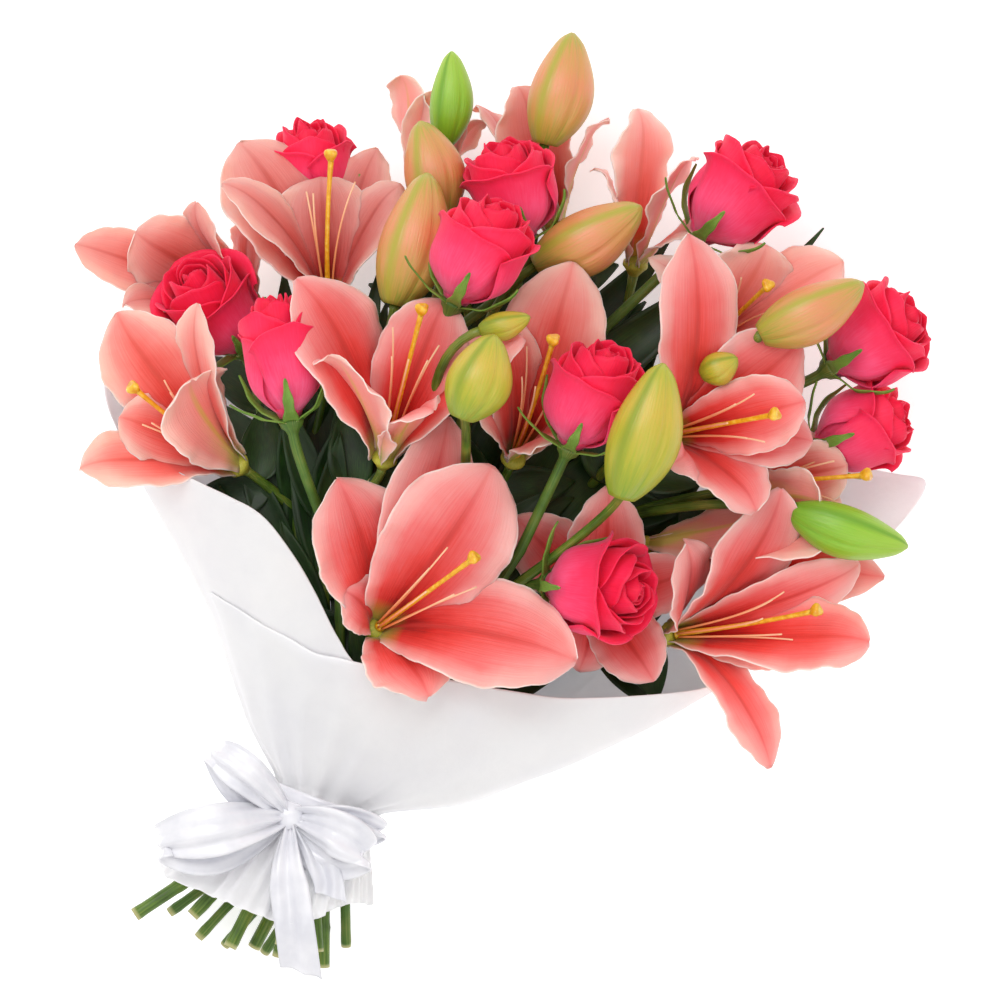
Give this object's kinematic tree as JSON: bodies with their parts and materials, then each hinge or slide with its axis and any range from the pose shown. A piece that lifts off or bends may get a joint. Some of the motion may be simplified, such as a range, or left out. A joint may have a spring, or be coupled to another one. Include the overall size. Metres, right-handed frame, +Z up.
{
  "type": "flower bouquet",
  "caption": "Hand-tied bouquet of lilies, lily buds and roses lying on its back in a paper wrap with a ribbon bow at the waist and cut stems below it.",
  "frame": {"origin": "middle of the flat on the paper's back, on the surface that the bouquet lies on", "axes": "+Y from the cut stems to the blooms, +Z up, away from the surface; the flowers face up"},
  "size_m": [0.5358, 0.5955, 0.2364],
  "materials": {
    "lily_petal": "soft satin petal, coral pink",
    "lily_pistil": "moist, orange yellow",
    "lily_bud": "smooth, peach with green ribs",
    "rose_petal": "velvety, hot pink",
    "green_stem": "smooth green skin",
    "wrapping_paper": "matt white",
    "satin_ribbon": "white satin"
  },
  "bodies": {
    "root": {"bud_high_left": "lily_bud", "bud_left": "lily_bud", "bud_middle": "lily_bud", "bud_right": "lily_bud", "bud_top": "lily_bud", "lily_behind_rose": "lily_petal", "lily_centre": "lily_petal", "lily_far_left": "lily_petal", "lily_far_right": "lily_petal", "lily_front": "lily_petal", "lily_high_left": "lily_petal", "lily_high_right": "lily_petal", "lily_left": "lily_petal", "lily_lower_right": "lily_petal", "lily_middle": "lily_petal", "lily_right": "lily_petal", "lily_side_on": "lily_petal", "lily_stem_centre": "green_stem", "lily_stem_centre_left": "green_stem", "lily_stem_front": "green_stem", "lily_stem_left": "green_stem", "lily_stem_lower_right": "green_stem", "lily_stem_right": "green_stem", "lily_stem_top": "green_stem", "lily_top": "lily_petal", "lily_upper_left": "lily_petal", "lily_upper_right": "lily_petal", "paper_wrap": "wrapping_paper", "pistil_centre": "lily_pistil", "pistil_far_right": "lily_pistil", "pistil_front": "lily_pistil", "pistil_left": "lily_pistil", "pistil_lower_right": "lily_pistil", "pistil_middle": "lily_pistil", "pistil_right": "lily_pistil", "pistil_upper_left": "lily_pistil", "pistil_upper_right": "lily_pistil", "ribbon_band": "satin_ribbon", "ribbon_bow": "satin_ribbon", "rose_centre": "rose_petal", "rose_front": "rose_petal", "rose_left": "rose_petal", "rose_left_front": "rose_petal", "rose_middle": "rose_petal", "rose_right": "rose_petal", "rose_right_low": "rose_petal", "rose_stem_centre": "green_stem", "rose_stem_front": "green_stem", "rose_stem_left": "green_stem", "rose_stem_left_front": "green_stem", "rose_stem_middle": "green_stem", "rose_stem_right": "green_stem", "rose_stem_right_low": "green_stem", "rose_stem_top_left": "green_stem", "rose_stem_upper": "green_stem", "rose_stem_upper_right": "green_stem", "rose_top_left": "rose_petal", "rose_upper": "rose_petal", "rose_upper_right": "rose_petal"}
  },
  "joints": []
}
